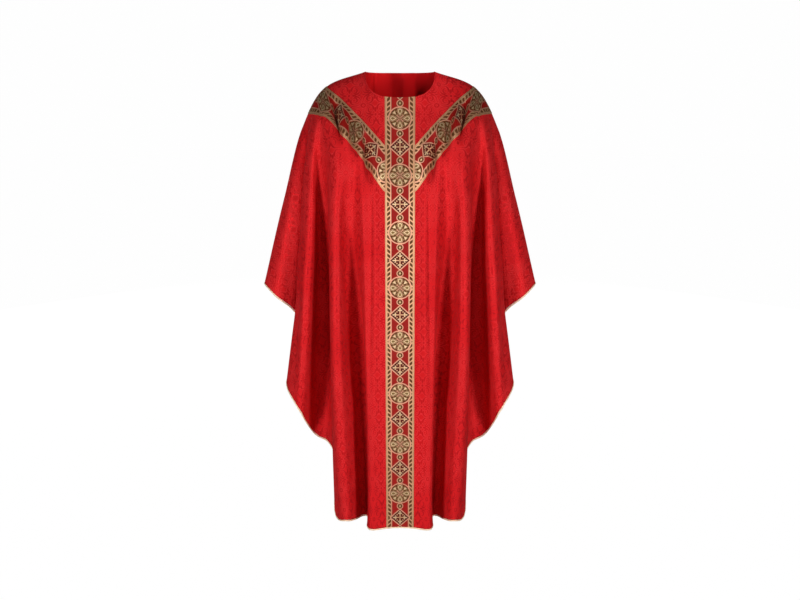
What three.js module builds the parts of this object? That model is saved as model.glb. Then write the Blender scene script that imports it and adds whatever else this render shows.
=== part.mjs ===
// A semi-gothic chasuble as it hangs from a wearer's shoulders, hollow and open at neck, sides and hem.
// Millimetres, +Z up, the front looks along -Y. The origin is the middle of the neck opening, at the
// height of the two neck points, where the shoulders hold the garment.
import * as THREE from 'three'

// Cloth and trim thicknesses.
const CLOTH = 2
const GALLOON = 1.2
const EDGING_WIDTH = 3.5
const EDGING_PROUD = 0.2
// Sewn pieces stay this far apart, so that each is a body of its own.
const SEAM_GAP = 0.3

// The neck opening, seen from above, is a rounded square. Its front dips, its back stays high.
const NECK_HALF_WIDTH = 95
const NECK_FRONT_REACH = 95
const NECK_BACK_REACH = 90
const NECK_FRONT_DROP = 67
const NECK_BACK_DROP = 4
const NECK_SQUARENESS = 3
const NECK_DROP_POWER = 1.25

// The back lies a little closer to the wearer than the chest does.
const BACK_YOKE_DEPTH = 0.94

// The yoke is the cloth that lies on the shoulders. Each row is a fold line, from the centre out to the
// arm line, at the height of the shoulder galloon: neck is the row's direction round the neck opening in
// degrees, upper and lower are [x, y, z] at the galloon's upper and lower edge.
const YOKE = [
  { fold: 'centre', neck: 0, upper: [0, -131, -206], lower: [0, -160, -326] },
  { fold: 'galloon_edge', neck: 24, upper: [40, -128, -191], lower: [40, -158, -311] },
  { fold: 'panel_crest', neck: 31, upper: [57, -124, -173], lower: [62, -156, -283] },
  { fold: 'panel_dip', neck: 37, upper: [70, -118, -159], lower: [80, -150, -256] },
  { fold: 'panel_edge', neck: 43, upper: [84, -109, -144], lower: [97, -149, -230] },
  { fold: 'inner_trough', neck: 50, upper: [101, -95, -127], lower: [121, -138, -200] },
  { fold: 'inner_crest', neck: 57, upper: [119, -86, -110], lower: [150, -138, -168] },
  { fold: 'inner_flank', neck: 63, upper: [135, -75, -95], lower: [173, -124, -141] },
  { fold: 'main_trough_inside', neck: 68, upper: [148, -65, -83], lower: [190, -110, -125] },
  { fold: 'main_trough_outside', neck: 73, upper: [159, -57, -73], lower: [203, -98, -117] },
  { fold: 'outer_crest', neck: 77, upper: [170, -50, -64], lower: [217, -87, -114] },
  { fold: 'outer_flank', neck: 80, upper: [180, -42, -57], lower: [230, -71, -113] },
  { fold: 'arm_trough_inside', neck: 82, upper: [185, -36, -53], lower: [236, -60, -113] },
  { fold: 'arm_trough', neck: 83, upper: [189, -32, -51], lower: [240, -52, -113] },
  { fold: 'arm_trough_outside', neck: 85, upper: [193, -27, -48], lower: [245, -43, -113] },
  { fold: 'wing_inside', neck: 87, upper: [197, -20, -45], lower: [250, -31, -113] },
  { fold: 'wing_crest', neck: 88.5, upper: [201, -11, -42], lower: [254, -17, -113] },
  { fold: 'arm_line', neck: 90, upper: [203, 0, -40], lower: [256, 0, -113] },
]

// Below the yoke the same fold lines fall free. body is a point about half way down, hem is the cut edge.
const FRONT_FALL = [
  { fold: 'centre', body: [0, -168, -620], hem: [0, -180, -1291] },
  { fold: 'galloon_edge', body: [40, -169, -615], hem: [40, -184, -1291] },
  { fold: 'panel_crest', body: [66, -171, -606], hem: [74, -192, -1292] },
  { fold: 'panel_dip', body: [82, -163, -604], hem: [90, -190, -1292] },
  { fold: 'panel_edge', body: [97, -160, -608], hem: [102, -176, -1291] },
  { fold: 'inner_trough', body: [131, -112, -620], hem: [116, -88, -1291] },
  { fold: 'inner_crest', body: [169, -162, -612], hem: [154, -171, -1274] },
  { fold: 'inner_flank', body: [198, -118, -640], hem: [191, -128, -1281] },
  { fold: 'main_trough_inside', body: [209, -56, -640], hem: [201, -60, -1098] },
  { fold: 'main_trough_outside', body: [234, -32, -630], hem: [254, -30, -1062] },
  { fold: 'outer_crest', body: [250, -116, -500], hem: [291, -121, -946] },
  { fold: 'outer_flank', body: [273, -80, -470], hem: [333, -72, -880] },
  { fold: 'arm_trough_inside', body: [267, -40, -445], hem: [300, -28, -816] },
  { fold: 'arm_trough', body: [259, -22, -420], hem: [284, -13, -756] },
  { fold: 'arm_trough_outside', body: [268, -18, -395], hem: [294, -9, -704] },
  { fold: 'wing_inside', body: [289, -36, -375], hem: [318, -30, -663] },
  { fold: 'wing_crest', body: [312, -42, -362], hem: [359, -42, -626] },
  { fold: 'arm_line', body: [331, 0, -350], hem: [397, 0, -596] },
]

const BACK_FALL = [
  { fold: 'centre', body: [0, 152, -620], hem: [0, 170, -1296] },
  { fold: 'galloon_edge', body: [40, 154, -615], hem: [40, 175, -1296] },
  { fold: 'panel_crest', body: [65, 158, -606], hem: [79, 183, -1297] },
  { fold: 'panel_dip', body: [82, 150, -604], hem: [95, 178, -1297] },
  { fold: 'panel_edge', body: [99, 148, -608], hem: [110, 164, -1296] },
  { fold: 'inner_trough', body: [127, 104, -620], hem: [126, 88, -1292] },
  { fold: 'inner_crest', body: [163, 150, -612], hem: [165, 162, -1276] },
  { fold: 'inner_flank', body: [193, 110, -640], hem: [199, 118, -1266] },
  { fold: 'main_trough_inside', body: [207, 58, -640], hem: [213, 62, -1112] },
  { fold: 'main_trough_outside', body: [231, 34, -630], hem: [250, 36, -1056] },
  { fold: 'outer_crest', body: [248, 106, -500], hem: [284, 114, -950] },
  { fold: 'outer_flank', body: [270, 74, -470], hem: [324, 68, -884] },
  { fold: 'arm_trough_inside', body: [266, 39, -445], hem: [296, 29, -820] },
  { fold: 'arm_trough', body: [258, 23, -420], hem: [282, 14, -760] },
  { fold: 'arm_trough_outside', body: [268, 19, -395], hem: [293, 10, -706] },
  { fold: 'wing_inside', body: [289, 36, -375], hem: [318, 30, -663] },
  { fold: 'wing_crest', body: [312, 42, -362], hem: [359, 42, -626] },
  { fold: 'arm_line', body: [331, 0, -350], hem: [397, 0, -596] },
]

// How finely the cloth is faceted: columns between two fold lines, and rows between two stations of a
// fold line, which are neck, galloon's upper edge, its lower edge, body and hem.
const COLUMNS_PER_FOLD = 3
const ROWS_PER_STRETCH = [2, 2, 3, 4]

const LAST_FOLD = YOKE.length - 1
const EDGE_FOLD = YOKE.findIndex((row) => row.fold === 'galloon_edge')
const STRETCHES = ROWS_PER_STRETCH.length

function neckPoint(degrees, isFront) {
  const reach = isFront ? NECK_FRONT_REACH : NECK_BACK_REACH
  const drop = isFront ? NECK_FRONT_DROP : NECK_BACK_DROP
  const sine = Math.sin(THREE.MathUtils.degToRad(degrees))
  const cosine = Math.cos(THREE.MathUtils.degToRad(degrees))
  const radius = (sine ** NECK_SQUARENESS + cosine ** NECK_SQUARENESS) ** (-1 / NECK_SQUARENESS)
  const depth = Math.max(radius * cosine, 0)
  const y = isFront ? -reach * depth : reach * depth
  return new THREE.Vector3(NECK_HALF_WIDTH * radius * sine, y, -drop * depth ** NECK_DROP_POWER)
}

function yokePoint(station, isFront) {
  const [x, y, z] = station
  return new THREE.Vector3(x, isFront ? y : -y * BACK_YOKE_DEPTH, z)
}

// A fold line runs from the neck, over the shoulder or chest, down to the hem.
function foldLine(index, isFront) {
  const yoke = YOKE[index]
  const fall = isFront ? FRONT_FALL[index] : BACK_FALL[index]
  const stations = [
    neckPoint(yoke.neck, isFront),
    yokePoint(yoke.upper, isFront),
    yokePoint(yoke.lower, isFront),
    new THREE.Vector3(...fall.body),
    new THREE.Vector3(...fall.hem),
  ]
  return new THREE.CatmullRomCurve3(stations, false, 'centripetal')
}

function mirrored(point) {
  return new THREE.Vector3(-point.x, point.y, point.z)
}

const frontLines = YOKE.map((row, index) => foldLine(index, true))
const backLines = YOKE.map((row, index) => foldLine(index, false))

// All round the garment at one height of the cloth: front centre, right arm line, back centre, left arm
// line and back to the front. The loop starts on the left arm line.
function clothLoop(share) {
  const front = frontLines.map((line) => line.getPoint(share))
  const back = backLines.map((line) => line.getPoint(share))
  const leftFront = front.slice(1).reverse().map(mirrored)
  const rightBack = back.slice(0, LAST_FOLD).reverse()
  const leftBack = back.slice(1, LAST_FOLD).map(mirrored)
  const loop = new THREE.CatmullRomCurve3([...leftFront, ...front, ...rightBack, ...leftBack], true, 'centripetal')
  return loop.getPoints(loop.points.length * COLUMNS_PER_FOLD).slice(0, -1)
}

function rowShares() {
  const shares = [0]
  ROWS_PER_STRETCH.forEach((rows, stretch) => {
    for (let row = 1; row <= rows; row += 1) {
      shares.push((stretch + row / rows) / STRETCHES)
    }
  })
  return shares
}

// The whole cloth as rows of points, with the outward normal at each.
const cloth = rowShares().map(clothLoop)
const LAST_ROW = cloth.length - 1
const COLUMNS = cloth[0].length
const PANEL_COLUMNS = 2 * LAST_FOLD * COLUMNS_PER_FOLD
const GALLOON_COLUMNS = EDGE_FOLD * COLUMNS_PER_FOLD
const CENTRE_COLUMN = LAST_FOLD * COLUMNS_PER_FOLD
const UPPER_ROW = ROWS_PER_STRETCH[0]
const LOWER_ROW = UPPER_ROW + ROWS_PER_STRETCH[1]

function clothPoint(row, column) {
  return cloth[row][(column + COLUMNS) % COLUMNS]
}

function clothNormal(row, column) {
  const across = clothPoint(row, column + 1).clone().sub(clothPoint(row, column - 1))
  const below = clothPoint(Math.min(row + 1, LAST_ROW), column)
  const above = clothPoint(Math.max(row - 1, 0), column)
  return across.cross(above.clone().sub(below)).normalize()
}

// A point on the cloth, moved out along its normal. The cloth is parted along both arm lines, where the
// shoulder seams are, and side says which part's edge is meant.
function seamPoint(row, column, side, out) {
  const point = clothPoint(row, column).clone().addScaledVector(clothNormal(row, column), out)
  if (column % PANEL_COLUMNS === 0) {
    point.y += side * SEAM_GAP / 2
  }
  return point
}

// A closed wall from two grids of points, its outer face and its inner face.
function wallGeometry(outer, inner) {
  const width = outer[0].length
  const rows = outer.length
  const positions = []
  for (const grid of [outer, inner]) {
    for (const line of grid) {
      for (const point of line) {
        positions.push(point.x, point.y, point.z)
      }
    }
  }
  const indices = []
  const innerStart = width * rows
  const quad = (a, b, c, d) => indices.push(a, b, c, a, c, d)
  for (let row = 0; row < rows - 1; row += 1) {
    for (let column = 0; column < width - 1; column += 1) {
      const here = row * width + column
      const below = here + width
      quad(here, below, below + 1, here + 1)
      quad(innerStart + here, innerStart + here + 1, innerStart + below + 1, innerStart + below)
    }
  }
  for (let column = 0; column < width - 1; column += 1) {
    const top = column
    const bottom = (rows - 1) * width + column
    quad(top, top + 1, innerStart + top + 1, innerStart + top)
    quad(bottom, innerStart + bottom, innerStart + bottom + 1, bottom + 1)
  }
  for (let row = 0; row < rows - 1; row += 1) {
    const first = row * width
    const last = first + width - 1
    quad(first, innerStart + first, innerStart + first + width, first + width)
    quad(last, last + width, innerStart + last + width, innerStart + last)
  }
  const geometry = new THREE.BufferGeometry()
  geometry.setAttribute('position', new THREE.Float32BufferAttribute(positions, 3))
  geometry.setIndex(indices)
  geometry.computeVertexNormals()
  return geometry
}

function gridOf(rowStart, rowEnd, columnStart, columnEnd, place) {
  const grid = []
  for (let row = rowStart; row <= rowEnd; row += 1) {
    const line = []
    for (let column = columnStart; column <= columnEnd; column += 1) {
      line.push(place(row, column))
    }
    grid.push(line)
  }
  return grid
}

const damask = new THREE.MeshStandardMaterial({ color: 0xb5121b, roughness: 0.55, metalness: 0 })
const galloonWeave = new THREE.MeshStandardMaterial({ color: 0xb08a45, roughness: 0.45, metalness: 0.4 })
const edgingBraid = new THREE.MeshStandardMaterial({ color: 0xe0b080, roughness: 0.5, metalness: 0.3 })

function named(name, geometry, material) {
  const mesh = new THREE.Mesh(geometry, material)
  mesh.name = name
  return mesh
}

// One panel of cloth, from arm line to arm line and from neck to hem.
function panel(name, firstColumn, side) {
  const lastColumn = firstColumn + PANEL_COLUMNS
  const face = (out) => gridOf(0, LAST_ROW, firstColumn, lastColumn, (row, column) => seamPoint(row, column, side, out))
  return named(name, wallGeometry(face(0), face(-CLOTH)), damask)
}

// The galloon down the middle of a panel, sewn on its face.
function centreGalloon(name, middleColumn, side) {
  const first = middleColumn - GALLOON_COLUMNS
  const last = middleColumn + GALLOON_COLUMNS
  const face = (out) => gridOf(0, LAST_ROW, first, last, (row, column) => seamPoint(row, column, side, out))
  return named(name, wallGeometry(face(SEAM_GAP + GALLOON), face(SEAM_GAP)), galloonWeave)
}

// One arm of the Y, from the edge of the centre galloon up to the shoulder seam.
function armGalloon(name, firstColumn, lastColumn, side) {
  const place = (out) => (row, column) => {
    const point = seamPoint(row, column, side, out)
    const atCentre = (column - CENTRE_COLUMN) % PANEL_COLUMNS
    if (Math.abs(atCentre) === GALLOON_COLUMNS) {
      point.x += Math.sign(point.x) * SEAM_GAP
    }
    return point
  }
  const face = (out) => gridOf(UPPER_ROW, LOWER_ROW, firstColumn, lastColumn, place(out))
  return named(name, wallGeometry(face(SEAM_GAP + GALLOON), face(SEAM_GAP)), galloonWeave)
}

// The narrow gold edging that runs along a panel's hem, just past the cloth's edge.
function hemEdging(name, firstColumn, side) {
  const place = (out) => (step, column) => {
    const alongHem = clothPoint(LAST_ROW, column + 1).clone().sub(clothPoint(LAST_ROW, column - 1))
    const beyondHem = alongHem.cross(clothNormal(LAST_ROW, column)).normalize()
    return seamPoint(LAST_ROW, column, side, out).addScaledVector(beyondHem, SEAM_GAP + step * EDGING_WIDTH)
  }
  const lastColumn = firstColumn + PANEL_COLUMNS
  const face = (out) => gridOf(0, 1, firstColumn, lastColumn, place(out))
  return named(name, wallGeometry(face(EDGING_PROUD), face(-CLOTH - EDGING_PROUD)), edgingBraid)
}

const FRONT_SIDE = -1
const BACK_SIDE = 1
const BACK_START = PANEL_COLUMNS
const BACK_CENTRE = CENTRE_COLUMN + PANEL_COLUMNS

const group = new THREE.Group()
group.add(panel('front_panel', 0, FRONT_SIDE))
group.add(panel('back_panel', BACK_START, BACK_SIDE))
group.add(centreGalloon('front_centre_galloon', CENTRE_COLUMN, FRONT_SIDE))
group.add(centreGalloon('back_centre_galloon', BACK_CENTRE, BACK_SIDE))
group.add(armGalloon('front_left_galloon', 0, CENTRE_COLUMN - GALLOON_COLUMNS, FRONT_SIDE))
group.add(armGalloon('front_right_galloon', CENTRE_COLUMN + GALLOON_COLUMNS, PANEL_COLUMNS, FRONT_SIDE))
group.add(armGalloon('back_right_galloon', BACK_START, BACK_CENTRE - GALLOON_COLUMNS, BACK_SIDE))
group.add(armGalloon('back_left_galloon', BACK_CENTRE + GALLOON_COLUMNS, COLUMNS, BACK_SIDE))
group.add(hemEdging('front_hem_edging', 0, FRONT_SIDE))
group.add(hemEdging('back_hem_edging', BACK_START, BACK_SIDE))

export default group
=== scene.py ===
"""A semi-gothic chasuble in red damask with a gold galloon, hanging hollow as it does on a wearer.

Metres, +Z up, the front looks along -Y, the origin is the middle of the neck opening. The tables of fold
lines are in millimetres and are turned into metres where they are read. They are those of the part's
source, but for the front's inner trough, which runs closer to the middle and hangs lower at the hem.
"""
import math

import bpy
import numpy as np
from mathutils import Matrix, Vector


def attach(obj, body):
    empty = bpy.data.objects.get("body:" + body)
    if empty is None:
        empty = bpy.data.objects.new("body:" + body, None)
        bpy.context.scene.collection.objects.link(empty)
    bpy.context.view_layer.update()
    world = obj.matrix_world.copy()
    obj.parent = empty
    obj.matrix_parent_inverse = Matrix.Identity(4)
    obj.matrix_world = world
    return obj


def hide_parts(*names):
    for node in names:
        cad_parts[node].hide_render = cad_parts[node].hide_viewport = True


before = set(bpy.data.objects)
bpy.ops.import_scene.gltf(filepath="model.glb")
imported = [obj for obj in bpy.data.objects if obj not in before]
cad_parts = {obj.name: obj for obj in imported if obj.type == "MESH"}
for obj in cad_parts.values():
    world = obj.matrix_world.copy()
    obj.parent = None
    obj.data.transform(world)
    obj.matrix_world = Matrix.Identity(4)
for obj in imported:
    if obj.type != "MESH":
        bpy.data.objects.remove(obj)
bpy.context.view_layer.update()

MM = 0.001

# ---------------------------------------------------------------- sizes of the garment
CLOTH = 1.0 * MM
GALLOON_WIDTH = 80 * MM
GALLOON_THICKNESS = 0.8 * MM
SEAM_GROOVE = 0.8 * MM
SEWN_GAP = 0.3 * MM
EDGING_WIDTH = 4.4 * MM
EDGING_THICKNESS = 2.6 * MM

NECK_HALF_WIDTH = 95
NECK_FRONT_REACH = 95
NECK_BACK_REACH = 90
NECK_FRONT_DROP = 67
NECK_BACK_DROP = 4
NECK_SQUARENESS = 3
NECK_DROP_POWER = 1.25
BACK_YOKE_DEPTH = 0.94

# fold line, direction round the neck in degrees, then [x, y, z] at the galloon's upper and lower edge
YOKE = [
    ("centre", 0, (0, -131, -206), (0, -160, -326)),
    ("galloon_edge", 24, (40, -128, -191), (40, -158, -311)),
    ("panel_crest", 31, (57, -124, -173), (62, -156, -283)),
    ("panel_dip", 37, (70, -118, -159), (80, -150, -256)),
    ("panel_edge", 43, (84, -109, -144), (97, -149, -230)),
    ("inner_trough", 50, (101, -95, -127), (121, -138, -200)),
    ("inner_crest", 57, (119, -86, -110), (150, -138, -168)),
    ("inner_flank", 63, (135, -75, -95), (173, -124, -141)),
    ("main_trough_inside", 68, (148, -65, -83), (190, -110, -125)),
    ("main_trough_outside", 73, (159, -57, -73), (203, -98, -117)),
    ("outer_crest", 77, (170, -50, -64), (217, -87, -114)),
    ("outer_flank", 80, (180, -42, -57), (230, -71, -113)),
    ("arm_trough_inside", 82, (185, -36, -53), (236, -60, -113)),
    ("arm_trough", 83, (189, -32, -51), (240, -52, -113)),
    ("arm_trough_outside", 85, (193, -27, -48), (245, -43, -113)),
    ("wing_inside", 87, (197, -20, -45), (250, -31, -113)),
    ("wing_crest", 88.5, (201, -11, -42), (254, -17, -113)),
    ("arm_line", 90, (203, 0, -40), (256, 0, -113)),
]

# the same fold lines below the yoke: [x, y, z] half way down, and at the hem
FRONT_FALL = [
    ("centre", (0, -168, -620), (0, -180, -1291)),
    ("galloon_edge", (40, -169, -615), (40, -184, -1291)),
    ("panel_crest", (66, -171, -606), (74, -192, -1292)),
    ("panel_dip", (82, -163, -604), (90, -190, -1292)),
    ("panel_edge", (97, -160, -608), (102, -176, -1291)),
    ("inner_trough", (127, -108, -620), (104, -88, -1304)),
    ("inner_crest", (169, -162, -612), (154, -171, -1274)),
    ("inner_flank", (198, -118, -640), (191, -128, -1281)),
    ("main_trough_inside", (209, -56, -640), (201, -60, -1098)),
    ("main_trough_outside", (234, -32, -630), (254, -30, -1062)),
    ("outer_crest", (250, -116, -500), (291, -121, -946)),
    ("outer_flank", (273, -80, -470), (333, -72, -880)),
    ("arm_trough_inside", (267, -40, -445), (300, -28, -816)),
    ("arm_trough", (259, -22, -420), (284, -13, -756)),
    ("arm_trough_outside", (268, -18, -395), (294, -9, -704)),
    ("wing_inside", (289, -36, -375), (318, -30, -663)),
    ("wing_crest", (312, -42, -362), (359, -42, -626)),
    ("arm_line", (331, 0, -350), (397, 0, -596)),
]

BACK_FALL = [
    ("centre", (0, 152, -620), (0, 170, -1296)),
    ("galloon_edge", (40, 154, -615), (40, 175, -1296)),
    ("panel_crest", (65, 158, -606), (79, 183, -1297)),
    ("panel_dip", (82, 150, -604), (95, 178, -1297)),
    ("panel_edge", (99, 148, -608), (110, 164, -1296)),
    ("inner_trough", (127, 104, -620), (126, 88, -1292)),
    ("inner_crest", (163, 150, -612), (165, 162, -1276)),
    ("inner_flank", (193, 110, -640), (199, 118, -1266)),
    ("main_trough_inside", (207, 58, -640), (213, 62, -1112)),
    ("main_trough_outside", (231, 34, -630), (250, 36, -1056)),
    ("outer_crest", (248, 106, -500), (284, 114, -950)),
    ("outer_flank", (270, 74, -470), (324, 68, -884)),
    ("arm_trough_inside", (266, 39, -445), (296, 29, -820)),
    ("arm_trough", (258, 23, -420), (282, 14, -760)),
    ("arm_trough_outside", (268, 19, -395), (293, 10, -706)),
    ("wing_inside", (289, 36, -375), (318, 30, -663)),
    ("wing_crest", (312, 42, -362), (359, 42, -626)),
    ("arm_line", (331, 0, -350), (397, 0, -596)),
]

COLUMNS_PER_FOLD = 8
ROWS_PER_STRETCH = (12, 14, 34, 44)
LAST_FOLD = len(YOKE) - 1
EDGE_FOLD = [row[0] for row in YOKE].index("galloon_edge")
PANEL_COLUMNS = 2 * LAST_FOLD * COLUMNS_PER_FOLD
CENTRE_COLUMN = LAST_FOLD * COLUMNS_PER_FOLD
GALLOON_COLUMNS = EDGE_FOLD * COLUMNS_PER_FOLD
UPPER_ROW = ROWS_PER_STRETCH[0]
LOWER_ROW = UPPER_ROW + ROWS_PER_STRETCH[1]
# a curve's own steps are kept longer than this, so that none divides by nought
SHORTEST_STEP = 1e-4


# ---------------------------------------------------------------- the cloth's surface
def catmull_rom(points, segment, share):
    """A centripetal curve through points, along their first axis, at a share of one segment."""
    before, start, end, after = (points[index] for index in segment)

    def step(a, b):
        return np.maximum(np.sqrt(np.linalg.norm(b - a, axis=-1, keepdims=True)), SHORTEST_STEP)

    first, middle, last = step(before, start), step(start, end), step(end, after)
    out = (start - before) / first - (end - before) / (first + middle) + (end - start) / middle
    into = (end - start) / middle - (after - start) / (middle + last) + (after - end) / last
    out, into = out * middle, into * middle
    square = -3 * start + 3 * end - 2 * out - into
    cube = 2 * start - 2 * end + out + into
    return start + out * share + square * share**2 + cube * share**3


def open_curve(points, samples):
    """Samples from station to station of a curve with two ends; samples is a count for each stretch."""
    points = np.concatenate([[2 * points[0] - points[1]], points, [2 * points[-1] - points[-2]]])
    result = [points[1]]
    for stretch, count in enumerate(samples):
        segment = range(stretch, stretch + 4)
        result += [catmull_rom(points, segment, step / count) for step in range(1, count + 1)]
    return np.array(result)


def closed_curve(points, count):
    """Samples round a curve that closes on itself; count is the number for each stretch."""
    total = len(points)
    result = []
    for start in range(total):
        segment = [(start + offset) % total for offset in (-1, 0, 1, 2)]
        result += [catmull_rom(points, segment, step / count) for step in range(count)]
    return np.array(result)


def neck_point(degrees, is_front):
    """A point of the neck edge, in millimetres, at an angle that is counted from the centre line."""
    reach = NECK_FRONT_REACH if is_front else NECK_BACK_REACH
    drop = NECK_FRONT_DROP if is_front else NECK_BACK_DROP
    sine, cosine = math.sin(math.radians(degrees)), max(math.cos(math.radians(degrees)), 0)
    radius = (sine**NECK_SQUARENESS + cosine**NECK_SQUARENESS) ** (-1 / NECK_SQUARENESS)
    depth = radius * cosine
    side = -1 if is_front else 1
    return (NECK_HALF_WIDTH * radius * sine, side * reach * depth, -drop * depth**NECK_DROP_POWER)


def fold_lines(is_front):
    """Every fold line of one half of a panel, centre first, sampled down the cloth."""
    lines = []
    fall = FRONT_FALL if is_front else BACK_FALL
    for (_, degrees, upper, lower), (_, body, hem) in zip(YOKE, fall):
        depth = 1 if is_front else -BACK_YOKE_DEPTH
        yoke = [(x, y * depth, z) for x, y, z in (upper, lower)]
        stations = np.array([neck_point(degrees, is_front), *yoke, body, hem], float) * MM
        lines.append(open_curve(stations, ROWS_PER_STRETCH))
    return np.array(lines)


def whole_cloth():
    """The cloth as rows by columns of points. Column 0 is the left arm line, then the front follows."""
    front, back = fold_lines(True), fold_lines(False)
    mirror = np.array([-1, 1, 1])
    ring = np.concatenate([front[:0:-1] * mirror, front, back[-2::-1], back[1:-1] * mirror])
    return closed_curve(ring, COLUMNS_PER_FOLD).transpose(1, 0, 2)


def normals_of(cloth):
    """The outward direction at each point of the whole cloth."""
    across = np.roll(cloth, -1, axis=1) - np.roll(cloth, 1, axis=1)
    upwards = np.empty_like(cloth)
    upwards[1:-1] = cloth[:-2] - cloth[2:]
    upwards[0] = cloth[0] - cloth[1]
    upwards[-1] = cloth[-2] - cloth[-1]
    normal = np.cross(across, upwards)
    return normal / np.linalg.norm(normal, axis=-1, keepdims=True)


cloth = whole_cloth()
LAST_ROW = len(cloth) - 1
COLUMNS = cloth.shape[1]

# ---------------------------------------------------------------- creases
# Soft creases, each from one place to another on the cloth as seen from the front or back:
# (x, z) of both ends in millimetres, height (negative is a trough) and half width, both millimetres.
# Each one is mirrored to the other half of its panel.
CREASES_FRONT = [
    ("arm_outer", (178, -76), (160, -172), -24.0, 8.5),
    ("arm_middle", (130, -116), (118, -210), -16.0, 8),
    ("arm_inner", (94, -166), (80, -276), -23.0, 8.5),
    ("arm_end", (222, -78), (210, -140), -6.0, 6),
    ("outer_swell", (152, -106), (140, -200), 5.0, 8),
    ("inner_swell", (108, -146), (99, -236), 4.0, 8),
    ("panel_fold", (77, -240), (86, -760), -3.0, 6),
    ("inner_fold_start", (146, -330), (128, -900), -15.0, 14),
    ("inner_fold", (122, -560), (106, -1320), -17.0, 13),
    ("inner_ridge", (186, -320), (176, -1280), 12.0, 13),
    ("outer_ridge", (246, -330), (284, -960), 10.0, 14),
    ("main_fold", (208, -210), (226, -1090), -14.0, 15),
    ("main_fold_low", (216, -560), (230, -1080), -9.0, 17),
    ("sleeve_swell", (262, -180), (301, -590), 12.0, 26),
    ("wing_swell", (279, -270), (314, -650), 9.0, 17),
    ("sleeve_fold", (284, -560), (310, -900), -3.0, 9),
]
CREASES_BACK = [
    ("arm_outer", (174, -84), (160, -168), -14.0, 8),
    ("arm_middle", (130, -112), (120, -206), -10.0, 8),
    ("arm_inner", (90, -150), (82, -262), -13.0, 8),
    ("outer_swell", (152, -108), (142, -190), 4.0, 9),
    ("panel_fold", (84, -300), (112, -1290), -4.0, 10),
    ("inner_fold_start", (142, -350), (130, -880), -11.0, 14),
    ("inner_fold", (124, -520), (122, -1310), -17.0, 13),
    ("inner_ridge", (180, -340), (186, -1270), 8.0, 13),
    ("outer_ridge", (246, -330), (282, -960), 8.0, 14),
    ("main_fold", (206, -210), (228, -1090), -16.0, 15),
    ("main_fold_low", (216, -560), (231, -1080), -8.0, 17),
    ("sleeve_swell", (266, -180), (304, -590), 9.0, 22),
]
# folds of the back seen through the neck opening, which fade out below the yoke and aren't mirrored
NECK_FOLDS = [
    ("left_edge", (-79, 30), (-88, -200), 5.0, 7),
    ("left_dip", (-66, 30), (-72, -190), -6.0, 9),
    ("left", (-27, 30), (-30, -200), 8.5, 17),
    ("middle_dip", (14, 30), (14, -190), -8.0, 13),
    ("right", (43, 30), (49, -200), 9.0, 12),
    ("right_dip", (74, 30), (80, -190), -5.0, 11),
]
# a crease's height follows half a wave less this share at each end, raised to a power that blunts it
CREASE_END = 0.05
CREASE_BLUNTNESS = 0.7


def crease_height(points, creases):
    """How far each point is moved out by a list of creases."""
    height = np.zeros(points.shape[:-1])
    place = points[..., [0, 2]]
    for _, start, end, rise, half_width in creases:
        start, end = np.array(start) * MM, np.array(end) * MM
        along = end - start
        share = np.clip(((place - start) @ along) / (along @ along), 0, 1)
        gap = np.linalg.norm(place - (start + share[..., None] * along), axis=-1)
        wave_share = share * (1 - 2 * CREASE_END) + CREASE_END
        taper = np.sin(math.pi * np.clip(wave_share, 0, 1)) ** CREASE_BLUNTNESS
        height += rise * MM * taper * np.exp(-((gap / (half_width * MM)) ** 2))
    return height


def creased(points):
    """The whole cloth with its creases. The folds inside the neck move the back along y only."""
    folded = np.abs(points)
    folded[..., 2] *= -1
    is_front = points[..., 1] < 0
    front_height, back_height = (crease_height(folded, rows) for rows in (CREASES_FRONT, CREASES_BACK))
    height = np.where(is_front, front_height, back_height)
    result = points + normals_of(points) * height[..., None]
    result[..., 1] += np.where(is_front, 0, crease_height(points, NECK_FOLDS))
    return result


cloth = creased(cloth)
outward = normals_of(cloth)
for seam in (0, PANEL_COLUMNS):
    cloth[:, seam] -= outward[:, seam] * SEAM_GROOVE


def patch(first_row, last_row, first_column, last_column):
    """Points and normals of a piece of the cloth."""
    columns = np.arange(first_column, last_column + 1) % COLUMNS
    rows = slice(first_row, last_row + 1)
    return cloth[rows, columns].copy(), outward[rows, columns]


# ---------------------------------------------------------------- the flat cut
FLAT_PASSES = 4000
FLAT_ROWS = 27
FLAT_COLUMN_STEP = 4
FLAT_FAN_DEGREES = 72
THREAD_PULL = 1.0
DIAGONAL_PULL = 0.5
SHORTEST_LINK = 1e-6


def spread_flat(points):
    """Lays a grid of cloth flat, keeping the lengths of its threads and diagonals as well as it can."""
    rows, columns = points.shape[:2]
    down = np.linalg.norm(np.diff(points, axis=0), axis=-1)
    length = np.concatenate([np.zeros((1, columns)), np.cumsum(down, axis=0)])
    angle = np.linspace(-1, 1, columns) * math.radians(FLAT_FAN_DEGREES) * np.sign(points[0, -1, 0])
    start = np.stack([points[0, :, 0], -np.abs(points[0, :, 1])], axis=-1)
    flat = start[None] + length[..., None] * np.stack([np.sin(angle), -np.cos(angle)], axis=-1)[None]
    links = [((1, 0), THREAD_PULL), ((0, 1), THREAD_PULL)]
    links += [((1, 1), DIAGONAL_PULL), ((1, -1), DIAGONAL_PULL)]
    for _ in range(FLAT_PASSES):
        move = np.zeros_like(flat)
        count = np.zeros(flat.shape[:2])
        for (row_step, column_step), weight in links:
            a = (slice(0, rows - row_step), slice(max(-column_step, 0), columns - max(column_step, 0)))
            b = (slice(row_step, rows), slice(max(column_step, 0), columns + min(column_step, 0)))
            rest = np.linalg.norm(points[b] - points[a], axis=-1)
            gap = flat[b] - flat[a]
            now = np.maximum(np.linalg.norm(gap, axis=-1), SHORTEST_LINK)
            pull = (weight * (now - rest) / now / 2)[..., None] * gap
            move[a] += pull
            move[b] -= pull
            count[a] += weight
            count[b] += weight
        flat += move / count[..., None]
    return flat


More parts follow.
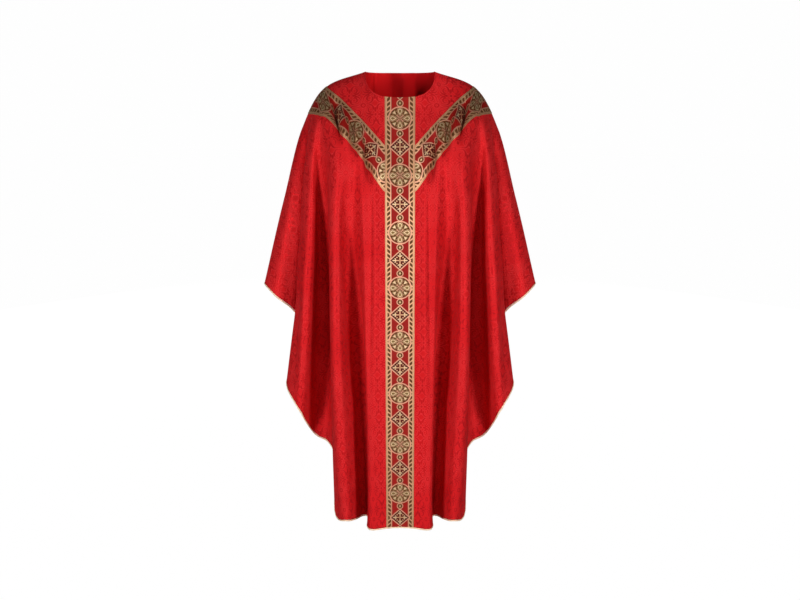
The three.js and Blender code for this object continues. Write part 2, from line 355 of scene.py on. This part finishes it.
def cut_places(first_column):
    """Where each point of a panel lies in its flat cut, centre line upright."""
    points, _ = patch(0, LAST_ROW, first_column, first_column + PANEL_COLUMNS)
    rows = np.linspace(0, LAST_ROW, FLAT_ROWS).round().astype(int)
    columns = np.arange(0, PANEL_COLUMNS + 1, FLAT_COLUMN_STEP)
    coarse = spread_flat(points[np.ix_(rows, columns)])
    every_row, every_column = np.arange(LAST_ROW + 1), np.arange(PANEL_COLUMNS + 1)
    result = np.empty(points.shape[:2] + (2,))
    for axis in range(2):
        across = np.array([np.interp(every_column, columns, line) for line in coarse[..., axis]])
        result[..., axis] = np.array([np.interp(every_row, rows, line) for line in across.T]).T
    return result


# ---------------------------------------------------------------- mesh helpers
SHARP_DEGREES = 60


def mesh_object(name, vertices, faces, layers, materials, material_of_face=None):
    """A mesh piece. layers is a table of UV layers, each with a pair of numbers for every vertex."""
    mesh = bpy.data.meshes.new(name)
    mesh.from_pydata([tuple(v) for v in vertices], [], faces)
    corner = np.empty(len(mesh.loops), dtype=np.int32)
    mesh.loops.foreach_get("vertex_index", corner)
    for layer_name, pairs in layers.items():
        layer = mesh.uv_layers.new(name=layer_name)
        layer.data.foreach_set("uv", np.asarray(pairs)[corner].ravel().astype(np.float32))
    for material in materials:
        mesh.materials.append(material)
    if material_of_face is not None:
        mesh.polygons.foreach_set("material_index", material_of_face)
    mesh.polygons.foreach_set("use_smooth", [True] * len(mesh.polygons))
    mesh.set_sharp_from_angle(angle=math.radians(SHARP_DEGREES))
    mesh.update()
    piece = bpy.data.objects.new(name, mesh)
    bpy.context.collection.objects.link(piece)
    return piece


def wall(name, outer, inner, layers, materials):
    """A closed wall between two grids of points. The inner face takes the last material."""
    rows, columns = outer.shape[:2]
    count = rows * columns
    index = np.arange(count).reshape(rows, columns)
    a, b = index[:-1, :-1].ravel(), index[1:, :-1].ravel()
    c, d = index[1:, 1:].ravel(), index[:-1, 1:].ravel()
    face_out = np.stack([a, b, c, d], axis=1)
    face_in = np.stack([a, d, c, b], axis=1) + count
    border = [
        (index[0, :-1], index[0, 1:]),
        (index[-1, 1:], index[-1, :-1]),
        (index[1:, 0], index[:-1, 0]),
        (index[:-1, -1], index[1:, -1]),
    ]
    rim = [np.stack([p, q, q + count, p + count], axis=1) for p, q in border]
    faces = np.concatenate([face_out, face_in, *rim])
    slots = np.zeros(len(faces), dtype=np.int32)
    slots[len(face_out) : len(face_out) + len(face_in)] = len(materials) - 1
    vertices = np.concatenate([outer.reshape(-1, 3), inner.reshape(-1, 3)])
    both = {layer: np.concatenate([pairs.reshape(-1, 2)] * 2) for layer, pairs in layers.items()}
    return mesh_object(name, vertices, faces.tolist(), both, materials, slots)


# ---------------------------------------------------------------- node helpers
class Amount:
    """A number at each point of a surface. Arithmetic on it adds Math nodes to the material."""

    def __init__(self, tree, socket):
        self.tree = tree
        self.socket = socket

    def math(self, operation, *others):
        node = self.tree.nodes.new("ShaderNodeMath")
        node.operation = operation
        for position, value in enumerate((self, *others)):
            if isinstance(value, Amount):
                self.tree.links.new(value.socket, node.inputs[position])
            else:
                node.inputs[position].default_value = value
        return Amount(self.tree, node.outputs[0])

    def __add__(self, other):
        return self.math("ADD", other)

    def __sub__(self, other):
        return self.math("SUBTRACT", other)

    def __mul__(self, other):
        return self.math("MULTIPLY", other)

    def __truediv__(self, other):
        return self.math("DIVIDE", other)

    def __abs__(self):
        return self.math("ABSOLUTE")

    def least(self, other):
        return self.math("MINIMUM", other)

    def most(self, other):
        return self.math("MAXIMUM", other)

    def repeat(self, period):
        """The same number counted from the middle of the nearest repeat."""
        return (self + period / 2).math("FLOORED_MODULO", period) - period / 2

    def wave(self, period):
        return (self * (math.tau / period)).math("SINE")

    def hypot(self, other):
        return (self * self + other * other).math("SQRT")

    def inside(self, blur=0.5):
        """1 where this distance is below nought, 0 where it is above, over an edge that is blur wide."""
        mask = self.math("MULTIPLY_ADD", -1 / blur, 0.5)
        mask.socket.node.use_clamp = True
        return mask

    def line(self, half_width):
        """Distance to a line along the places where this distance is nought."""
        return abs(self) - half_width


def new_material(name):
    """A material, its node tree and its Principled shader."""
    material = bpy.data.materials.new(name)
    material.use_nodes = True
    tree = material.node_tree
    shader = tree.nodes["Principled BSDF"]
    return material, tree, shader


def uv_amounts(tree, scale, layer="place"):
    """Both numbers of a UV layer, times scale."""
    node = tree.nodes.new("ShaderNodeUVMap")
    node.uv_map = layer
    split = tree.nodes.new("ShaderNodeSeparateXYZ")
    tree.links.new(node.outputs[0], split.inputs[0])
    return Amount(tree, split.outputs[0]) * scale, Amount(tree, split.outputs[1]) * scale


def mix_colour(tree, share, low, high, blend="MIX"):
    """Colour low where share is 0, high where it is 1. Either colour is a socket or three numbers."""
    node = tree.nodes.new("ShaderNodeMix")
    node.data_type = "RGBA"
    node.blend_type = blend
    tree.links.new(share.socket, node.inputs["Factor"])
    for socket, colour in ((node.inputs[6], low), (node.inputs[7], high)):
        if isinstance(colour, bpy.types.NodeSocket):
            tree.links.new(colour, socket)
        else:
            socket.default_value = (*colour, 1)
    return node.outputs[2]


def noise(tree, scale, detail):
    """Noise in the piece's own space, with about scale patches a metre."""
    place = tree.nodes.new("ShaderNodeTexCoord")
    texture = tree.nodes.new("ShaderNodeTexNoise")
    texture.inputs["Scale"].default_value = scale
    texture.inputs["Detail"].default_value = detail
    tree.links.new(place.outputs["Object"], texture.inputs["Vector"])
    return Amount(tree, texture.outputs[0])


def add_bump(tree, shader, height, distance, strength):
    """Fine relief in the shading only, distance deep in metres."""
    node = tree.nodes.new("ShaderNodeBump")
    node.inputs["Strength"].default_value = strength
    node.inputs["Distance"].default_value = distance
    tree.links.new(height.socket, node.inputs["Height"])
    tree.links.new(node.outputs[0], shader.inputs["Normal"])


# ---------------------------------------------------------------- materials
DAMASK_RED = (0.50, 0.009, 0.011)
DAMASK_FIGURE = (0.36, 0.006, 0.010)
DAMASK_CLOUD = (0.69, 0.014, 0.017)
# painted highlight: the pale pink that the figure's satin shows where it catches the light, laid in the
# colour round it
DAMASK_PAINTED_HIGHLIGHT = (0.92, 0.075, 0.080)
REVERSE_RED = (0.72, 0.010, 0.012)
REVERSE_DARK = (0.50, 0.006, 0.008)
STITCH_SHADE = (0.13, 0.003, 0.005)
SATIN_TINT = (1, 0.40, 0.40, 1)
SHEEN_TINT = (1, 0.30, 0.32, 1)
SATIN_SPECULAR = 0.08
DAMASK_ROUGHNESS = 0.56
DAMASK_METALLIC = 0.12
FIGURE_SHINE = 0.22
FIGURE_METALLIC = 0.25
REVERSE_ROUGHNESS = 0.45
REVERSE_METALLIC = 0.15

# the sizes of stitches and woven figures are in millimetres of cloth
MM_PER_METRE = 1000
NECK_STITCHES = 5.0
NECK_STITCH_HALF = 0.35
HEM_STITCHES = 1.6
HEM_STITCH_HALF = 0.5
DAMASK_THREAD = 0.9
REVERSE_THREAD = 0.8

DAMASK_REPEAT = (68, 62)
DAMASK_RING_PLACE = (17, 15.5)
# a disc's radius, then the place from its centre and the radius of the disc that is cut out of it
DAMASK_RING = (14, (2.2, 1.4), 11.4)
DAMASK_CURL = (7.5, (-1.8, 0.4), 6.2)
DAMASK_CURL_SHIFT = 1
RING_OPENING_SLANT = 0.7
RING_OPENING_PLACE = 9
DAMASK_BOSS_RADIUS = 3.2
DAMASK_CORNER_RADIUS = 5
DAMASK_LINE = 1.3
OUTLINE_PLACE = 1.5
OUTLINE_HALF = 0.6


def drop(along, across, tip, wide, half_width, end):
    """Distance to a drop that starts in a point at tip, is widest at wide and ends round at end."""
    cone = abs(across) - (along - tip) * (half_width / (wide - tip))
    bulge = ((along - wide).most(0) * (half_width / (end - wide))).hypot(across) - half_width
    return cone.most(bulge)


def crescent(x, y, radius, hollow_place, hollow_radius):
    """Distance to a disc that has another disc cut out of it."""
    hollow_x, hollow_y = hollow_place
    return (x.hypot(y) - radius).most((x - hollow_x).hypot(y - hollow_y) * -1 + hollow_radius)


def damask_figure(x, y):
    """Distance to four open rings a repeat, a curl in each, round a boss, with leaves between repeats."""
    width, height = DAMASK_REPEAT
    across, down = abs(x.repeat(width)), abs(y.repeat(height))
    ring_x, ring_y = across - DAMASK_RING_PLACE[0], down - DAMASK_RING_PLACE[1]
    opening = (ring_x + ring_y) * -RING_OPENING_SLANT - RING_OPENING_PLACE
    ring = crescent(ring_x, ring_y, *DAMASK_RING).most(opening)
    curl = crescent(ring_x + DAMASK_CURL_SHIFT, ring_y + DAMASK_CURL_SHIFT, *DAMASK_CURL)
    boss = across.hypot(down) - DAMASK_BOSS_RADIUS
    leaf = drop(down, across, tip=6, wide=12, half_width=3.2, end=19)
    side_leaf = drop(across, down, tip=6, wide=11, half_width=2.6, end=17)
    corner = ((across - width / 2).hypot(down - height / 2) - DAMASK_CORNER_RADIUS).line(DAMASK_LINE)
    stem = drop((across - width / 2) * -1, down, tip=2, wide=4, half_width=1.8, end=9)
    return ring.least(curl).least(boss).least(leaf).least(side_leaf).least(corner).least(stem)


def damask_material():
    """Red tone-on-tone damask. Its figure is woven as satin, so it is darker but shinier than the rest; a
    pale line round it, in patches, is a painted highlight.
    """
    material, tree, shader = new_material("damask")
    x, y = uv_amounts(tree, MM_PER_METRE)
    from_neck, from_hem = uv_amounts(tree, MM_PER_METRE, "edges")
    shape = damask_figure(x, y)
    figure = shape.inside(blur=1.2)
    highlight_line = (shape - OUTLINE_PLACE).line(OUTLINE_HALF).inside(blur=1.0)
    neck_row = (from_neck - NECK_STITCHES).line(NECK_STITCH_HALF)
    hem_row = (from_hem - HEM_STITCHES).line(HEM_STITCH_HALF)
    stitches = neck_row.least(hem_row).inside(blur=0.4)
    weave = (x.wave(DAMASK_THREAD) * y.wave(DAMASK_THREAD)) * 0.5 + 0.5
    cloud = noise(tree, scale=14, detail=4)
    mottle = noise(tree, scale=90, detail=3)
    patches = noise(tree, scale=7, detail=2)
    brightness = cloud * 0.7 + mottle * 0.45 + weave * 0.1 - 0.12
    ground = mix_colour(tree, brightness, DAMASK_RED, DAMASK_CLOUD)
    shown = figure * (patches * 2.2 - 0.55).least(1.0).most(0.25)
    colour = mix_colour(tree, shown * 0.75, ground, DAMASK_FIGURE)
    # painted highlight: the pale line round the figure, in patches, stands for the sheen that the satin
    # catches
    highlight_places = (patches * -2.4 + 1.5).least(0.34).most(0.04)
    colour = mix_colour(tree, highlight_line * highlight_places, colour, DAMASK_PAINTED_HIGHLIGHT)
    colour = mix_colour(tree, stitches * 0.7, colour, STITCH_SHADE)
    tree.links.new(colour, shader.inputs["Base Color"])
    roughness = figure * -FIGURE_SHINE + mottle * 0.12 + DAMASK_ROUGHNESS
    tree.links.new(roughness.socket, shader.inputs["Roughness"])
    metallic = figure * FIGURE_METALLIC + DAMASK_METALLIC
    tree.links.new(metallic.socket, shader.inputs["Metallic"])
    shader.inputs["Sheen Weight"].default_value = 0.03
    shader.inputs["Sheen Roughness"].default_value = 0.35
    shader.inputs["Sheen Tint"].default_value = SHEEN_TINT
    shader.inputs["Specular IOR Level"].default_value = SATIN_SPECULAR
    shader.inputs["Specular Tint"].default_value = SATIN_TINT
    relief = figure * 0.6 + weave * 0.25 + mottle * 0.5 - stitches
    add_bump(tree, shader, relief, distance=0.4 * MM, strength=0.6)
    return material


def reverse_material():
    """The plain satin reverse that shows inside."""
    material, tree, shader = new_material("damask_reverse")
    x, y = uv_amounts(tree, MM_PER_METRE)
    weave = (x.wave(REVERSE_THREAD) * y.wave(2 * REVERSE_THREAD)) * 0.5 + 0.5
    cloud = noise(tree, scale=6, detail=2)
    colour = mix_colour(tree, cloud * 0.6 + weave * 0.15, REVERSE_DARK, REVERSE_RED)
    tree.links.new(colour, shader.inputs["Base Color"])
    shader.inputs["Roughness"].default_value = REVERSE_ROUGHNESS
    shader.inputs["Metallic"].default_value = REVERSE_METALLIC
    shader.inputs["Specular IOR Level"].default_value = SATIN_SPECULAR
    shader.inputs["Specular Tint"].default_value = SATIN_TINT
    add_bump(tree, shader, weave, distance=0.2 * MM, strength=0.3)
    return material


GALLOON_REPEAT = 152.8
GALLOON_START = 56.0
PEACH = (0.84, 0.46, 0.25)
PINK_GOLD = (0.90, 0.45, 0.29)
CREAM = (0.94, 0.69, 0.41)
OLIVE = (0.34, 0.20, 0.075)
DARK_OLIVE = (0.12, 0.055, 0.016)
BROWN = (0.13, 0.036, 0.008)
FIELD_RED = (0.36, 0.009, 0.006)
LOZENGE_RED = (0.115, 0.010, 0.005)
THREAD_SHADE = (0.45, 0.40, 0.36)
GALLOON_ROUGHNESS = 0.55
GALLOON_SPECULAR = 0.15
GOLD_METALLIC = 0.65
GOLD_SHINE = 0.14

INNER_LINE = 24.8
OUTER_LINE = 37.6
ROPE_PERIOD = 12.75
ROPE_MIDDLE = 30.6
ROPE_SLANT = 0.75
ROPE_GAP = (4.3, 4.8)
ROPE_GAP_SCALE = 3.8
MEDALLION_RADIUS = 30.6
MEDALLION_HALF_LINE = 1.5
BUD_PLACE = 40.6
BUD_TIP = 51.0
LOZENGE_HALF = (28.5, 26.5)
LOZENGE_SCALE = 19.4
LOZENGE_HALF_LINE = 1.45
GALLOON_STITCHES = 38.4
STITCH_PERIOD = 3.4
GALLOON_THREAD = 0.7
# where a medallion's middle lies on the Y's right arm, on the front and on the back: x and z
ARM_MEDALLION = (49.5, -273)


# Each function below gives a motif's layers from the back to the front: distance to a shape, and its thread.
# Distances inside a motif are millimetres from its own middle.
def rope_layers(side, from_medallion):
    """The rope of slanting beads on each border, between a wide outer line and a narrow inner one."""
    beside = side - ROPE_MIDDLE
    slant = from_medallion + beside * ROPE_SLANT
    gap_length, gap_width = ROPE_GAP
    gap_reach = (slant.repeat(ROPE_PERIOD) / gap_length).hypot(beside / gap_width)
    gap = gap_reach * ROPE_GAP_SCALE - ROPE_GAP_SCALE
    bead = (slant + ROPE_PERIOD / 2).repeat(ROPE_PERIOD)
    return [
        (beside.line(4.4), OLIVE),
        (bead.hypot(beside * 0.45) - 2.6, PEACH),
        (gap, BROWN),
        (gap + 2.6, DARK_OLIVE),
        ((side - INNER_LINE).line(1.5), PINK_GOLD),
        ((side - OUTER_LINE).line(2.9), PEACH),
    ]


def lozenge_layers(side, from_lozenge):
    """A lozenge that holds a cross with three-lobed ends and four dots."""
    half_width, half_height = LOZENGE_HALF
    edge = (side / half_width + from_lozenge / half_height - 1) * LOZENGE_SCALE
    major, minor = side.most(from_lozenge), side.least(from_lozenge)
    stem = (minor - 1.5).most(major - 15)
    bar = (abs(major - 11.8) - 0.9).most(minor - 4.6)
    middle_lobe = ((major - 16.6) * 0.45).hypot(minor) - 1.9
    side_lobe = (major - 13.3).hypot(minor - 4.7) - 1.6
    dot = (side - 8.4).hypot(from_lozenge - 8.4) - 1.9
    return [
        (edge, LOZENGE_RED),
        (stem, PEACH),
        (bar, CREAM),
        (middle_lobe, CREAM),
        (side_lobe, CREAM),
        (dot, PEACH),
        (side.hypot(from_lozenge) - 1.3, BROWN),
        (edge.line(LOZENGE_HALF_LINE), PINK_GOLD),
    ]


def bud_layers(side, from_medallion):
    """The bud that joins a medallion to the point of a lozenge."""
    from_point = (from_medallion - BUD_TIP) * -1
    circle = (from_point - 10.8).hypot(side) - 9.4
    shape = circle.least((side - from_point * 1.15).most(from_point - 7))
    diamond = side / 4.0 + abs(from_medallion - BUD_PLACE) / 6.0 - 1
    return [
        (shape, PINK_GOLD),
        (shape + 2.3, BROWN),
        (diamond * 3, OLIVE),
        (diamond * 3 + 1.5, CREAM),
    ]


def medallion_layers(side, from_medallion):
    """A ring with four petals, a leaf between each pair, and a small cross at the centre."""
    radius = side.hypot(from_medallion)
    major, minor = side.most(from_medallion), side.least(from_medallion)
    diagonal = (side + from_medallion) * math.sqrt(0.5)
    beside = (side - from_medallion) * math.sqrt(0.5)
    petal = drop(major, minor, tip=8.2, wide=19, half_width=6.0, end=26.4)
    leaf = (abs(beside) - (diagonal - 15) * 0.5).most(diagonal - 24)
    return [
        (radius - MEDALLION_RADIUS + 2.4, BROWN),
        ((radius - 21).line(0.8), OLIVE),
        ((radius - 13).line(0.7), OLIVE),
        ((diagonal - 10.5).hypot(beside) - 2.4, PINK_GOLD),
        ((diagonal - 10.5).hypot(beside) - 1.0, BROWN),
        (leaf - 1.6, OLIVE),
        (leaf - 0.6, BROWN),
        (leaf, CREAM),
        (petal - 2.6, PEACH),
        (petal - 1.5, DARK_OLIVE),
        (petal, CREAM),
        (petal + 2.2, OLIVE),
        ((minor - 0.6).most(abs(major - 19.5) - 3.6), DARK_OLIVE),
        ((abs(beside) - 1.1).most(radius - 8.5), PINK_GOLD),
        (radius - 1.6, BROWN),
        ((radius - MEDALLION_RADIUS).line(MEDALLION_HALF_LINE), PINK_GOLD),
    ]


def galloon_material():
    """Gold galloon on a red ground: ropes, medallions, buds and lozenges, woven as raised metal thread."""
    material, tree, shader = new_material("galloon")
    across, along = uv_amounts(tree, MM_PER_METRE)
    side = abs(across)
    from_medallion = abs(along.repeat(GALLOON_REPEAT))
    from_lozenge = (from_medallion - GALLOON_REPEAT / 2) * -1
    layers = rope_layers(side, from_medallion) + lozenge_layers(side, from_lozenge)
    layers += bud_layers(side, from_medallion) + medallion_layers(side, from_medallion)

    metal_threads = (PEACH, PINK_GOLD, CREAM, OLIVE)
    colour, gold = FIELD_RED, side * 0
    for shape, thread in layers:
        mask = shape.inside()
        colour = mix_colour(tree, mask, colour, thread)
        is_gold = 1 if thread in metal_threads else 0
        gold = gold * (mask * -1 + 1) + mask * is_gold
    stitch_row = (side - GALLOON_STITCHES).line(0.3)
    stitch = stitch_row.most(along.repeat(STITCH_PERIOD).line(1.2)).inside(blur=0.3)
    colour = mix_colour(tree, stitch * 0.8, colour, DARK_OLIVE)
    rib = along.wave(GALLOON_THREAD) * 0.5 + 0.5
    thread_break = noise(tree, scale=700, detail=2)
    shade = rib * 0.16 + thread_break * 0.4
    colour = mix_colour(tree, shade, colour, THREAD_SHADE, "MULTIPLY")
    tree.links.new(colour, shader.inputs["Base Color"])
    tree.links.new((gold * GOLD_METALLIC).socket, shader.inputs["Metallic"])
    tree.links.new((gold * -GOLD_SHINE + GALLOON_ROUGHNESS).socket, shader.inputs["Roughness"])
    shader.inputs["Specular IOR Level"].default_value = GALLOON_SPECULAR
    relief = gold + rib * 0.25 + thread_break * 0.3 - stitch
    add_bump(tree, shader, relief, distance=0.5 * MM, strength=0.7)
    return material


BRAID_PITCH = 2.4
BRAID_DARK = (0.78, 0.47, 0.28)
BRAID_PALE = (1.0, 0.80, 0.58)
BRAID_ROUGHNESS = 0.42


def edging_material():
    """A fine twisted braid of pale gold."""
    material, tree, shader = new_material("edging_braid")
    along, turn = uv_amounts(tree, 1)
    twist = (along * MM_PER_METRE + turn * (BRAID_PITCH / math.tau)).wave(BRAID_PITCH) * 0.5 + 0.5
    colour = mix_colour(tree, twist, BRAID_DARK, BRAID_PALE)
    tree.links.new(colour, shader.inputs["Base Color"])
    shader.inputs["Roughness"].default_value = BRAID_ROUGHNESS
    add_bump(tree, shader, twist, distance=0.6 * MM, strength=0.5)
    return material


damask = damask_material()
damask_reverse = reverse_material()
galloon = galloon_material()
edging_braid = edging_material()


# ---------------------------------------------------------------- pieces
TOUCHING = 1e-6
EDGING_SIDES = 8


def panel(name, first_column):
    """The front or the back, from arm line to arm line."""
    points, normal = patch(0, LAST_ROW, first_column, first_column + PANEL_COLUMNS)
    places = cut_places(first_column)
    step = np.linalg.norm(np.diff(points, axis=0), axis=-1)
    from_neck = np.concatenate([np.zeros((1, step.shape[1])), np.cumsum(step, axis=0)])
    layers = {"place": places, "edges": np.stack([from_neck, from_neck[-1] - from_neck], axis=-1)}
    piece = wall(name, points, points - normal * CLOTH, layers, (damask, damask_reverse))
    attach(piece, "root")
    return piece


def centre_galloon(name, middle_column):
    """The galloon down the middle of a panel. Its pattern is level from edge to edge."""
    first, last = middle_column - GALLOON_COLUMNS, middle_column + GALLOON_COLUMNS
    points, normal = patch(0, LAST_ROW, first, last)
    middle = points[:, GALLOON_COLUMNS]
    down = np.concatenate([[0], np.cumsum(np.linalg.norm(np.diff(middle, axis=0), axis=-1))])
    down = down - GALLOON_START * MM
    level = np.interp(-points[..., 2], -middle[:, 2], down)
    places = np.stack([points[..., 0], level], axis=-1)
    face = points + normal * (SEWN_GAP + GALLOON_THICKNESS)
    piece = wall(name, face, points + normal * SEWN_GAP, {"place": places}, (galloon,))
    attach(piece, "root")
    return piece


def band_places(points):
    """Across and along a straight band of galloon whose end is cut on the slant against the column."""
    to_column = np.abs(points[0, :, 0]).argmin() == 0
    grid = points if to_column else points[:, ::-1]
    step = np.linalg.norm(np.diff(grid, axis=1), axis=-1)
    length = np.concatenate([np.zeros((len(grid), 1)), np.cumsum(step, axis=1)], axis=1)
    slant = np.linalg.norm(grid[-1, 0] - grid[0, 0])
    shift = math.sqrt(slant**2 - GALLOON_WIDTH**2)
    length += np.linspace(shift, 0, len(grid))[:, None]
    gap = np.linalg.norm(np.abs(grid[..., [0, 2]]) - np.abs(ARM_MEDALLION) * MM, axis=-1)
    length -= length.ravel()[gap.argmin()]
    across = np.broadcast_to(np.linspace(-0.5, 0.5, len(grid))[:, None] * GALLOON_WIDTH, length.shape)
    places = np.stack([across, length], axis=-1)
    return places if to_column else places[:, ::-1]


def arm_galloon(name, first_column, last_column):
    """One arm of the Y, from the centre galloon or to it. It stops short of the column's edge."""
    points, normal = patch(UPPER_ROW, LOWER_ROW, first_column, last_column)
    places = band_places(points)
    at_centre = abs(points[0, :, 0] * 2) < GALLOON_WIDTH + TOUCHING
    points[:, at_centre, 0] += np.sign(points[:, at_centre, 0]) * SEWN_GAP
    face = points + normal * (SEWN_GAP + GALLOON_THICKNESS)
    piece = wall(name, face, points + normal * SEWN_GAP, {"place": places}, (galloon,))
    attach(piece, "root")
    return piece


def hem_edging(name, first_column):
    """A flattened tube that runs along a panel's hem, just beyond the cloth's edge."""
    sides = EDGING_SIDES
    points, normal = patch(LAST_ROW, LAST_ROW, first_column, first_column + PANEL_COLUMNS)
    points, normal = points[0], normal[0]
    columns = np.arange(first_column, first_column + PANEL_COLUMNS + 1)
    hem = cloth[LAST_ROW]
    along = hem[(columns + 1) % COLUMNS] - hem[(columns - 1) % COLUMNS]
    beyond = np.cross(along, normal)
    beyond /= np.linalg.norm(beyond, axis=-1, keepdims=True)
    middle = points + beyond * (SEWN_GAP + EDGING_WIDTH / 2) - normal * CLOTH / 2
    angle = np.arange(sides) * math.tau / sides
    ring = np.cos(angle)[:, None, None] * beyond * EDGING_WIDTH / 2
    ring = ring + np.sin(angle)[:, None, None] * normal * EDGING_THICKNESS / 2
    vertices = (middle[None] + ring).transpose(1, 0, 2).reshape(-1, 3)
    count = len(columns)
    faces = []
    for step in range(count - 1):
        for corner in range(sides):
            here, there = step * sides + corner, step * sides + (corner + 1) % sides
            faces.append((here, there, there + sides, here + sides))
    faces.append(tuple(range(sides))[::-1])
    faces.append(tuple(range((count - 1) * sides, count * sides)))
    length = np.concatenate([[0], np.cumsum(np.linalg.norm(np.diff(middle, axis=0), axis=-1))])
    places = np.stack([np.repeat(length, sides), np.tile(angle, count)], axis=-1)
    piece = mesh_object(name, vertices, faces, {"place": places}, (edging_braid,))
    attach(piece, "root")
    return piece


BACK_START = PANEL_COLUMNS
BACK_CENTRE = CENTRE_COLUMN + PANEL_COLUMNS

front = panel("front_cloth", 0)
back = panel("back_cloth", BACK_START)
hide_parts("front_panel")
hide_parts("back_panel")

front_column = centre_galloon("front_column", CENTRE_COLUMN)
back_column = centre_galloon("back_column", BACK_CENTRE)
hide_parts("front_centre_galloon")
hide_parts("back_centre_galloon")

for name, first, last in (
    ("front_left", 0, CENTRE_COLUMN - GALLOON_COLUMNS),
    ("front_right", CENTRE_COLUMN + GALLOON_COLUMNS, PANEL_COLUMNS),
    ("back_right", BACK_START, BACK_CENTRE - GALLOON_COLUMNS),
    ("back_left", BACK_CENTRE + GALLOON_COLUMNS, COLUMNS),
):
    arm_galloon(name + "_arm", first, last)
    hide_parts(name + "_galloon")

front_hem = hem_edging("front_hem", 0)
back_hem = hem_edging("back_hem", BACK_START)
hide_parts("front_hem_edging")
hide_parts("back_hem_edging")

# ---------------------------------------------------------------- stage, light and camera
FLOOR_HEIGHT = -1.42
STUDIO_RADIUS = 14
STUDIO_SEGMENTS = 64
STUDIO_LEVELS = 8
STUDIO_WHITE = 0.99
STUDIO_COLOUR = (0.02, 0.02, 0.02, 1)
MIDDLE = (0, 0, -0.6)
# a key light's and a fill light's place behind the garment, each of which is mirrored to its other sides
KEY_PLACE = (2.15, 2.95, -0.7)
KEY_SIZE = (0.7, 1.4)
KEY_POWER = 78
FILL_PLACE = (0, 3.5, -0.8)
FILL_SIZE = (1.2, 1.2)
FILL_POWER = 13
WORLD_STRENGTH = 0.06
NECK_LIGHT = (1.15, -1.85, 1.5)
NECK_INSIDE = (-0.02, 0.085, -0.035)
NECK_POWER = 420
NECK_SPREAD_DEGREES = 5.4
NECK_LAMP_RADIUS = 0.12


def round_studio():
    """A pale floor and, round and over it, the white wall of the studio, as one upturned bowl."""
    turns = [math.tau * k / STUDIO_SEGMENTS for k in range(STUDIO_SEGMENTS)]
    lift = [math.pi / 2 * k / STUDIO_LEVELS for k in range(STUDIO_LEVELS + 1)]
    vertices = [
        (STUDIO_RADIUS * math.cos(rise) * math.cos(turn),
         STUDIO_RADIUS * math.cos(rise) * math.sin(turn),
         FLOOR_HEIGHT + STUDIO_RADIUS * math.sin(rise))
        for rise in lift for turn in turns
    ]
    faces = [tuple(range(STUDIO_SEGMENTS))]
    for level in range(STUDIO_LEVELS):
        for k in range(STUDIO_SEGMENTS):
            here = level * STUDIO_SEGMENTS + k
            there = level * STUDIO_SEGMENTS + (k + 1) % STUDIO_SEGMENTS
            faces.append((here, there, there + STUDIO_SEGMENTS, here + STUDIO_SEGMENTS))
    material, _, shader = new_material("studio_white")
    shader.inputs["Base Color"].default_value = STUDIO_COLOUR
    shader.inputs["Roughness"].default_value = 0.9
    shader.inputs["Specular IOR Level"].default_value = 0.0
    shader.inputs["Emission Color"].default_value = (1, 1, 1, 1)
    shader.inputs["Emission Strength"].default_value = STUDIO_WHITE
    bowl = mesh_object("studio", vertices, faces, {}, (material,))
    bowl.visible_diffuse = False
    bowl.visible_glossy = False
    bowl.visible_shadow = False


def add_light(data, place, target, glints):
    """A light at a place, turned to a target. Without glints it isn't mirrored in shiny thread."""
    light = bpy.data.objects.new(data.name, data)
    light.visible_camera = False
    light.visible_glossy = glints
    light.location = place
    light.rotation_euler = (Vector(target) - Vector(place)).to_track_quat("-Z", "Y").to_euler()
    bpy.context.collection.objects.link(light)


def area_light(name, place, target, size, power, glints):
    """A soft box of a width and height, in metres, and a power in watts."""
    data = bpy.data.lights.new(name, "AREA")
    data.shape = "RECTANGLE"
    data.size, data.size_y = size
    data.energy = power
    add_light(data, place, target, glints)


def neck_light():
    """A small light above and to the right of the camera, which shows the inside of the neck."""
    data = bpy.data.lights.new("neck", "SPOT")
    data.energy = NECK_POWER
    data.spot_size = math.radians(NECK_SPREAD_DEGREES)
    data.spot_blend = 1
    data.shadow_soft_size = NECK_LAMP_RADIUS
    add_light(data, NECK_LIGHT, NECK_INSIDE, False)


round_studio()
for y_side in (-1, 1):
    for x_side in (-1, 1):
        place = (KEY_PLACE[0] * x_side, KEY_PLACE[1] * y_side, KEY_PLACE[2])
        area_light("key", place, MIDDLE, KEY_SIZE, KEY_POWER, glints=y_side < 0)
    place = (FILL_PLACE[0], FILL_PLACE[1] * y_side, FILL_PLACE[2])
    area_light("fill", place, MIDDLE, FILL_SIZE, FILL_POWER, glints=False)
neck_light()

world = bpy.data.worlds.new("studio")
world.use_nodes = True
background = world.node_tree.nodes["Background"]
background.inputs["Color"].default_value = (1, 1, 1, 1)
background.inputs["Strength"].default_value = WORLD_STRENGTH
bpy.context.scene.world = world
bpy.context.scene.view_settings.view_transform = "Standard"

CAMERA_PLACE = (0, -2.5, 0)
CAMERA_TILT_DOWN = 14.6
SENSOR = 36
FOCAL_SHARE = 877 / 800

camera_data = bpy.data.cameras.new("camera")
camera_data.sensor_width = SENSOR
camera_data.lens = SENSOR * FOCAL_SHARE
camera = bpy.data.objects.new("camera", camera_data)
camera.location = CAMERA_PLACE
camera.rotation_euler = (math.radians(90 - CAMERA_TILT_DOWN), 0, 0)
bpy.context.collection.objects.link(camera)
bpy.context.scene.camera = camera
